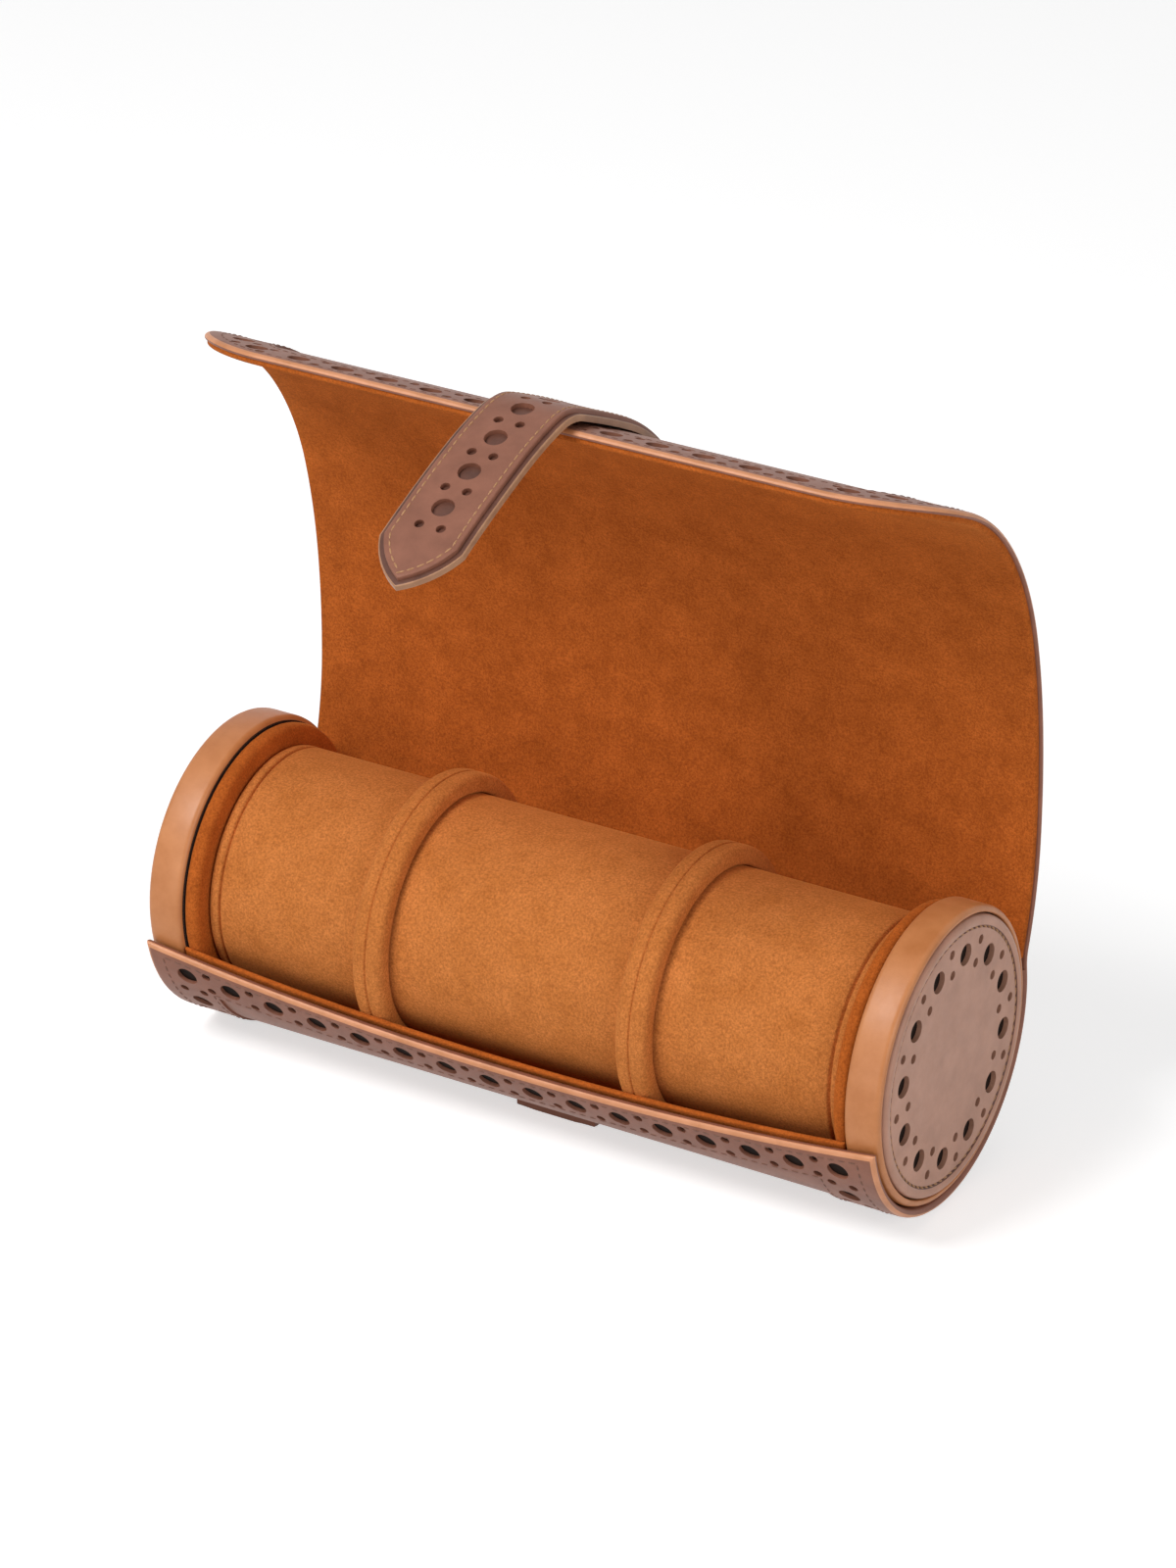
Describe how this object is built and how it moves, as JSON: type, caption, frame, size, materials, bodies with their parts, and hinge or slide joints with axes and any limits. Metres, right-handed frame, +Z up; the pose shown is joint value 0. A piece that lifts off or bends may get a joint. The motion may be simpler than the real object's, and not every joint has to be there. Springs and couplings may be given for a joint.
{
  "type": "watch roll",
  "caption": "Cylindrical leather watch roll: padded roll with sliding divider rings between two end caps, in a trough with a long curling cover and strap closure.",
  "frame": {"origin": "on the flat underside of the closure pad, straight below the axis of the roll and midway between its ends", "axes": "+X along the roll, +Y towards the hinge of the cover, +Z up"},
  "size_m": [0.222, 0.1381, 0.2111],
  "materials": {
    "brown_leather": "satin",
    "perforated_leather": "satin",
    "tan_leather": "satin",
    "dark_leather": "matte",
    "suede": "matte",
    "board": "matte",
    "magnet": "satin"
  },
  "bodies": {
    "case": {"trough_shell": "brown_leather", "trough_lining": "suede", "trough_border": "perforated_leather", "closure_pad": "dark_leather", "closure_magnet": "magnet", "core_tube": "board", "tube_plug_left": "board", "tube_plug_right": "board", "cushion": "suede", "end_board_left": "board", "end_board_right": "board", "rim_band_left": "tan_leather", "rim_band_right": "tan_leather", "end_disc_left": "perforated_leather", "end_disc_right": "perforated_leather", "disc_backing_left": "dark_leather", "disc_backing_right": "dark_leather", "guard_ring_left": "suede", "guard_ring_right": "suede"},
    "divider_left": {"divider_core_left": "board", "divider_sleeve_left": "suede"},
    "divider_right": {"divider_core_right": "board", "divider_sleeve_right": "suede"},
    "cover_1": {"cover_leather_1": "brown_leather", "cover_lining_1": "suede", "cover_border_1": "perforated_leather"},
    "cover_2": {"cover_leather_2": "brown_leather", "cover_lining_2": "suede", "cover_border_2": "perforated_leather"},
    "cover_3": {"cover_leather_3": "brown_leather", "cover_lining_3": "suede", "cover_border_3": "perforated_leather"},
    "cover_4": {"cover_leather_4": "brown_leather", "cover_lining_4": "suede", "cover_border_4": "perforated_leather"},
    "cover_5": {"cover_leather_5": "brown_leather", "cover_lining_5": "suede", "cover_border_5": "perforated_leather", "strap_root": "brown_leather"},
    "cover_6": {"cover_leather_6": "brown_leather", "cover_lining_6": "suede", "cover_border_6": "perforated_leather", "strap_bridge": "brown_leather"},
    "strap_1": {"strap_face_1": "perforated_leather", "strap_back_1": "brown_leather"},
    "strap_2": {"strap_face_2": "perforated_leather", "strap_back_2": "brown_leather", "strap_magnet": "magnet"},
    "strap_3": {"strap_face_3": "perforated_leather", "strap_back_3": "brown_leather"}
  },
  "joints": [
    {"name": "cover_fold", "type": "hinge", "parent": "case", "child": "cover_1", "pos_m": [0, 0.03938, 0.05468], "axis": [1, 0, 0], "range_deg": [-20, 37.5]},
    {"name": "cover_bend_2", "type": "hinge", "parent": "cover_1", "child": "cover_2", "pos_m": [0, 0.04466, 0.08462], "axis": [1, 0, 0], "range_deg": [-19.6, 36.7]},
    {"name": "cover_bend_3", "type": "hinge", "parent": "cover_2", "child": "cover_3", "pos_m": [0, 0.04386, 0.11509], "axis": [1, 0, 0], "range_deg": [-16.6, 31]},
    {"name": "cover_bend_4", "type": "hinge", "parent": "cover_3", "child": "cover_4", "pos_m": [0, 0.03857, 0.14509], "axis": [1, 0, 0], "range_deg": [-12.6, 23.5]},
    {"name": "cover_bend_5", "type": "hinge", "parent": "cover_4", "child": "cover_5", "pos_m": [0, 0.02551, 0.17246], "axis": [1, 0, 0], "range_deg": [-8.2, 15.2]},
    {"name": "cover_bend_6", "type": "hinge", "parent": "cover_5", "child": "cover_6", "pos_m": [0, 0.00269, 0.1923], "axis": [1, 0, 0], "range_deg": [-10.8, 20]},
    {"name": "strap_lift", "type": "hinge", "parent": "cover_6", "child": "strap_1", "pos_m": [0, -0.02332, 0.20825], "axis": [1, 0, 0], "range_deg": [-45, 0]},
    {"name": "strap_curl", "type": "hinge", "parent": "strap_1", "child": "strap_2", "pos_m": [0, -0.04599, 0.20302], "axis": [1, 0, 0], "range_deg": [-8, 10]},
    {"name": "strap_curl_tip", "type": "hinge", "parent": "strap_2", "child": "strap_3", "pos_m": [0, -0.06774, 0.19467], "axis": [1, 0, 0], "range_deg": [-16.1, 20.1]},
    {"name": "divider_left_slide", "type": "slide", "parent": "case", "child": "divider_left", "axis": [1, 0, 0], "range_m": [-0.045, 0.033]},
    {"name": "divider_right_slide", "type": "slide", "parent": "case", "child": "divider_right", "axis": [1, 0, 0], "range_m": [-0.035, 0.052]}
  ],
  "couplings": [
    {"joint": "cover_bend_2", "follows": "cover_fold", "ratio": 0.975},
    {"joint": "cover_bend_3", "follows": "cover_fold", "ratio": 0.823},
    {"joint": "cover_bend_4", "follows": "cover_fold", "ratio": 0.623},
    {"joint": "cover_bend_5", "follows": "cover_fold", "ratio": 0.401},
    {"joint": "cover_bend_6", "follows": "cover_fold", "ratio": 0.53},
    {"joint": "strap_curl_tip", "follows": "strap_curl", "ratio": 2}
  ]
}
